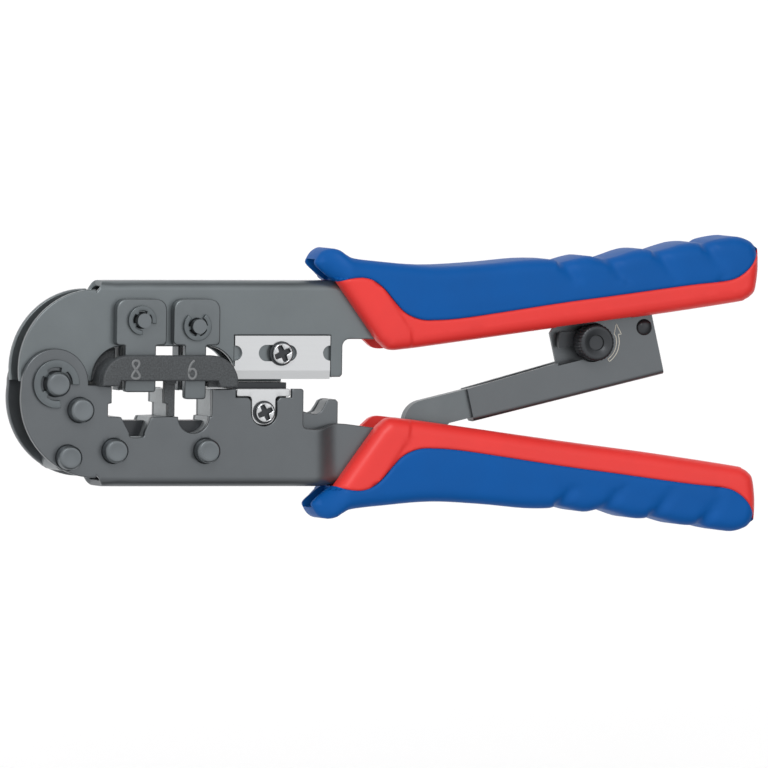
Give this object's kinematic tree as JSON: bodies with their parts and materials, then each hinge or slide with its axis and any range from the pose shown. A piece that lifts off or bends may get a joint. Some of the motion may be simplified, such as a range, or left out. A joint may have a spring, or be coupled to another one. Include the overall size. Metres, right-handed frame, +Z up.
{
  "type": "modular plug crimping tool",
  "caption": "Hand crimping pliers for modular plugs: folded sheet frames on one hinge, plug nests, punches, cutter blades, two-colour grips and a ratchet lock link.",
  "frame": {"origin": "centre of the underside of the tool as it lies flat, under the middle of its length and height", "axes": "+X along the handles away from the jaws, +Y across the jaws towards the punch frame, +Z up through the thickness towards the numbered face"},
  "size_m": [0.1897, 0.072, 0.019],
  "materials": {
    "lower_steel": "burnished grey sheet",
    "upper_steel": "burnished grey sheet",
    "pin_steel": "turned",
    "clip_steel": "stamped",
    "guide_plastic": "grained",
    "die_steel": "milled",
    "punch_steel": "stamped",
    "dark_steel": "blackened",
    "blade_steel": "ground",
    "screw_steel": "plated",
    "spring_wire": "drawn",
    "core_plastic": "moulded",
    "cover_rubber": "fine grain"
  },
  "bodies": {
    "lower": {"lower_frame": "lower_steel", "pivot_pin": "pin_steel", "pivot_bush": "pin_steel", "pivot_clips": "clip_steel", "frame_rivets": "pin_steel", "frame_spacers": "pin_steel", "nest_guide": "guide_plastic", "nest_divider": "guide_plastic", "die_block": "die_steel", "latch_anvils": "dark_steel", "lower_blade": "blade_steel", "lower_blade_screw": "screw_steel", "blade_holder": "die_steel", "cable_anvil": "die_steel", "rack_pin": "pin_steel", "rack_washers": "pin_steel", "lower_grip_core": "core_plastic", "lower_grip_cover": "cover_rubber"},
    "upper": {"upper_frame": "upper_steel", "contact_punch_wide": "punch_steel", "contact_punch_narrow": "punch_steel", "relief_punch_wide": "punch_steel", "relief_punch_narrow": "punch_steel", "punch_pins": "pin_steel", "punch_clips": "clip_steel", "upper_blade": "blade_steel", "upper_blade_screw": "screw_steel", "blade_nut": "die_steel", "channel_pin": "pin_steel", "upper_grip_core": "core_plastic", "upper_grip_cover": "cover_rubber"},
    "channel": {"lock_channel": "punch_steel", "channel_rivet": "dark_steel", "channel_washers": "pin_steel", "return_spring": "spring_wire", "pawl_spring": "spring_wire"},
    "rack": {"lock_rack": "punch_steel"},
    "release": {"release_knob": "dark_steel", "knob_spindle": "pin_steel", "pawl": "dark_steel"}
  },
  "joints": [
    {"name": "main_hinge", "type": "hinge", "parent": "lower", "child": "upper", "pos_m": [-0.08615, 0, 0.009], "axis": [0, 0, 1], "range_deg": [-5, 0]},
    {"name": "channel_hinge", "type": "hinge", "parent": "upper", "child": "channel", "pos_m": [0.06645, 0.0204, 0.009], "axis": [0, 0, 1], "range_deg": [-7.45, 0]},
    {"name": "rack_slide", "type": "slide", "parent": "channel", "child": "rack", "axis": [0.9732, 0.23, 0], "range_m": [0, 0.00488], "deforming": ["return_spring"]},
    {"name": "release_hinge", "type": "hinge", "parent": "channel", "child": "release", "pos_m": [0.05329, 0.00999, 0.009], "axis": [0, 0, 1], "range_deg": [0, 20], "stiffness_Nm_per_rad": 0.01}
  ],
  "couplings": [
    {"joint": "channel_hinge", "follows": "main_hinge", "ratio": 1.47},
    {"joint": "rack_slide", "follows": "main_hinge", "m_per_rad": -0.05535}
  ]
}
